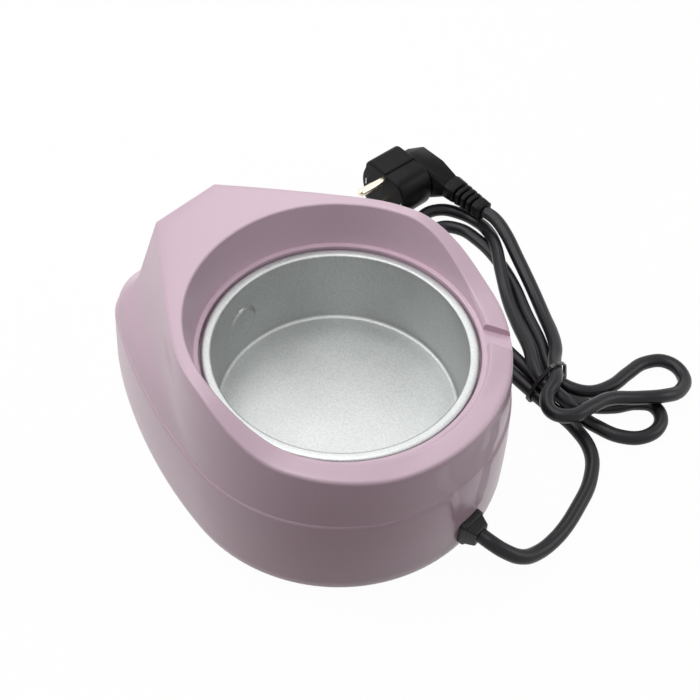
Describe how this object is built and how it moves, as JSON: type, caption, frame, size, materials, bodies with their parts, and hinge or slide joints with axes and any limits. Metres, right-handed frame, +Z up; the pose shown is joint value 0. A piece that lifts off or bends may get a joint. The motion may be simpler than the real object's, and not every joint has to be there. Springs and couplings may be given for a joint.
{
  "type": "wax warmer pot",
  "caption": "Salon wax warmer: a heated aluminium bowl in a two-part plastic housing with a raised front collar, control knob, rubber feet and a mains lead with plug.",
  "frame": {"origin": "on the table under the middle of the housing's bounding box, the lead, its gland and its plug left out", "axes": "+Z up through the bowl, -Y towards the control knob at the front, +Y towards the lead's outlet, +X to the right seen from behind"},
  "size_m": [0.2728, 0.2554, 0.1044],
  "materials": {
    "shell_pink": "glossy pale pink",
    "base_black": "fine textured",
    "foot_rubber": "matte",
    "bowl_aluminium": "matte spun",
    "plated_steel": "zinc plated",
    "heater_mica": "mica tape",
    "stat_plastic": "moulded",
    "brass": "polished",
    "copper": "drawn copper",
    "knob_black": "satin",
    "pointer_white": "painted",
    "dial_silver": "satin printed",
    "lens_green": "translucent",
    "lens_orange": "translucent",
    "nylon_white": "moulded",
    "wire_brown": "pvc",
    "wire_blue": "pvc",
    "wire_green": "pvc",
    "cord_black": "satin pvc",
    "plug_black": "satin pvc"
  },
  "bodies": {
    "housing": {"upper_housing": "shell_pink", "lower_housing": "shell_pink", "base_plate": "base_black", "rubber_feet": "foot_rubber", "base_screws": "plated_steel", "heating_chamber": "bowl_aluminium", "chamber_brackets": "plated_steel", "bracket_screws": "plated_steel", "heater_band": "heater_mica", "heater_clamp_screw": "plated_steel", "heat_shield": "plated_steel", "shield_screws": "plated_steel", "thermostat_body": "stat_plastic", "thermostat_nut": "brass", "dial_plate": "dial_silver", "sensor_bulb": "copper", "sensor_clip": "plated_steel", "capillary_tube": "copper", "thermal_fuse": "nylon_white", "power_lens": "lens_green", "heating_lens": "lens_orange", "lamp_holders": "nylon_white", "terminal_block": "nylon_white", "live_wire": "wire_brown", "neutral_wire": "wire_blue", "earth_wire": "wire_green", "earth_screw": "brass", "cord_clamp": "nylon_white", "cord_clamp_screws": "plated_steel", "cord_gland": "plug_black", "lead_inside": "cord_black", "power_cord": "cord_black", "cord_tie": "base_black", "plug_body": "plug_black", "plug_neck": "plug_black", "plug_pins": "brass", "plug_earth_clips": "plated_steel"},
    "control": {"control_knob": "knob_black", "knob_pointer": "pointer_white", "thermostat_shaft": "plated_steel"}
  },
  "joints": [
    {"name": "knob_turn", "type": "hinge", "parent": "housing", "child": "control", "pos_m": [0, -0.1, 0.032], "axis": [0, 1, 0], "range_deg": [0, 300]}
  ]
}
